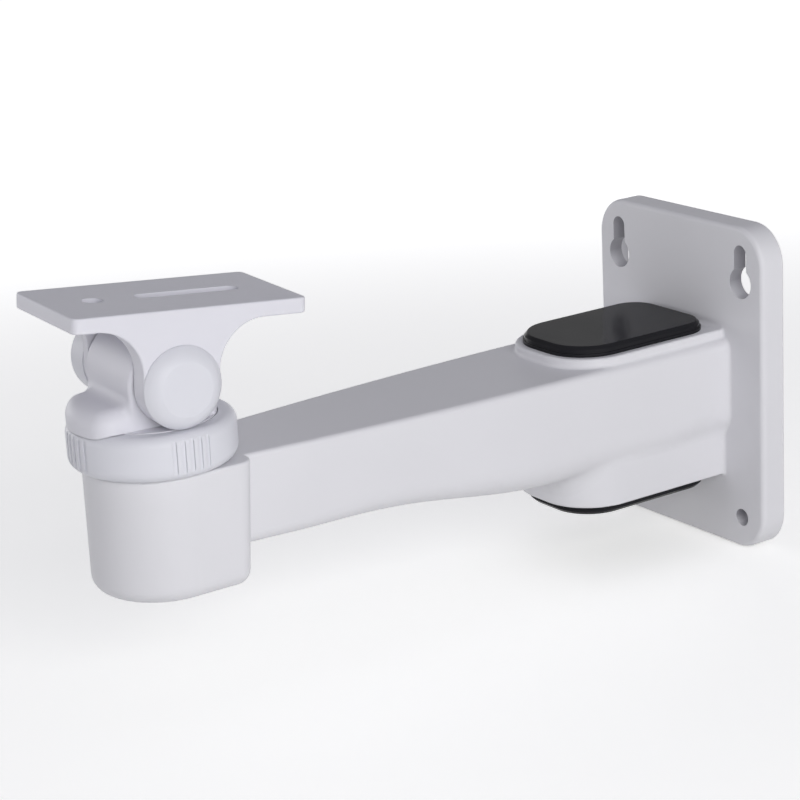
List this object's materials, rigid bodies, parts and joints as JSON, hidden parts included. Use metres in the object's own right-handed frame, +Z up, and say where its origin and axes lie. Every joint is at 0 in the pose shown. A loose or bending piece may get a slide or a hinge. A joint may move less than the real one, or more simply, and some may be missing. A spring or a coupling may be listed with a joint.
{
  "type": "camera wall bracket",
  "caption": "Wall bracket for a camera: a cast arm with a wall plate and cable box, ending in a cup that carries a panning and tilting mounting plate locked by a ribbed collar.",
  "frame": {"origin": "centre of the four wall fixings, in the plane of the wall plate's back face", "axes": "+Z up, +Y into the wall, -Y out along the arm, X across the wall plate"},
  "size_m": [0.098, 0.2931, 0.1476],
  "materials": {
    "white_paint": "satin",
    "white_head": "satin",
    "white_collar": "satin",
    "white_cover": "satin",
    "black_cap": "fine satin",
    "seat_fibre": "matt",
    "zinc_steel": "zinc plated"
  },
  "bodies": {
    "bracket": {"wall_arm_casting": "white_paint", "upper_cable_cap": "black_cap", "lower_cable_cap": "black_cap", "swivel_seat_washer": "seat_fibre"},
    "collar": {"lock_collar": "white_collar"},
    "swivel": {"swivel_knuckle": "white_head", "near_friction_disc": "seat_fibre", "far_friction_disc": "seat_fibre"},
    "camera_plate": {"camera_yoke": "white_head", "tilt_bolt": "zinc_steel", "tilt_flat_washers": "zinc_steel", "tilt_spring_washer": "zinc_steel", "tilt_nut": "zinc_steel", "near_bolt_cap": "white_cover", "far_bolt_cap": "white_cover"}
  },
  "joints": [
    {"name": "collar_lock", "type": "hinge", "parent": "bracket", "child": "collar", "pos_m": [0, -0.255, 0.0265], "axis": [0, 0, 1], "range_deg": [0, 90]},
    {"name": "head_pan", "type": "hinge", "parent": "bracket", "child": "swivel", "pos_m": [0, -0.255, 0.035], "axis": [0, 0, 1], "continuous": true},
    {"name": "plate_tilt", "type": "hinge", "parent": "swivel", "child": "camera_plate", "pos_m": [0.00009, -0.2535, 0.0498], "axis": [0.9981, -0.061, 0], "range_deg": [-49.8, 60.2]}
  ]
}
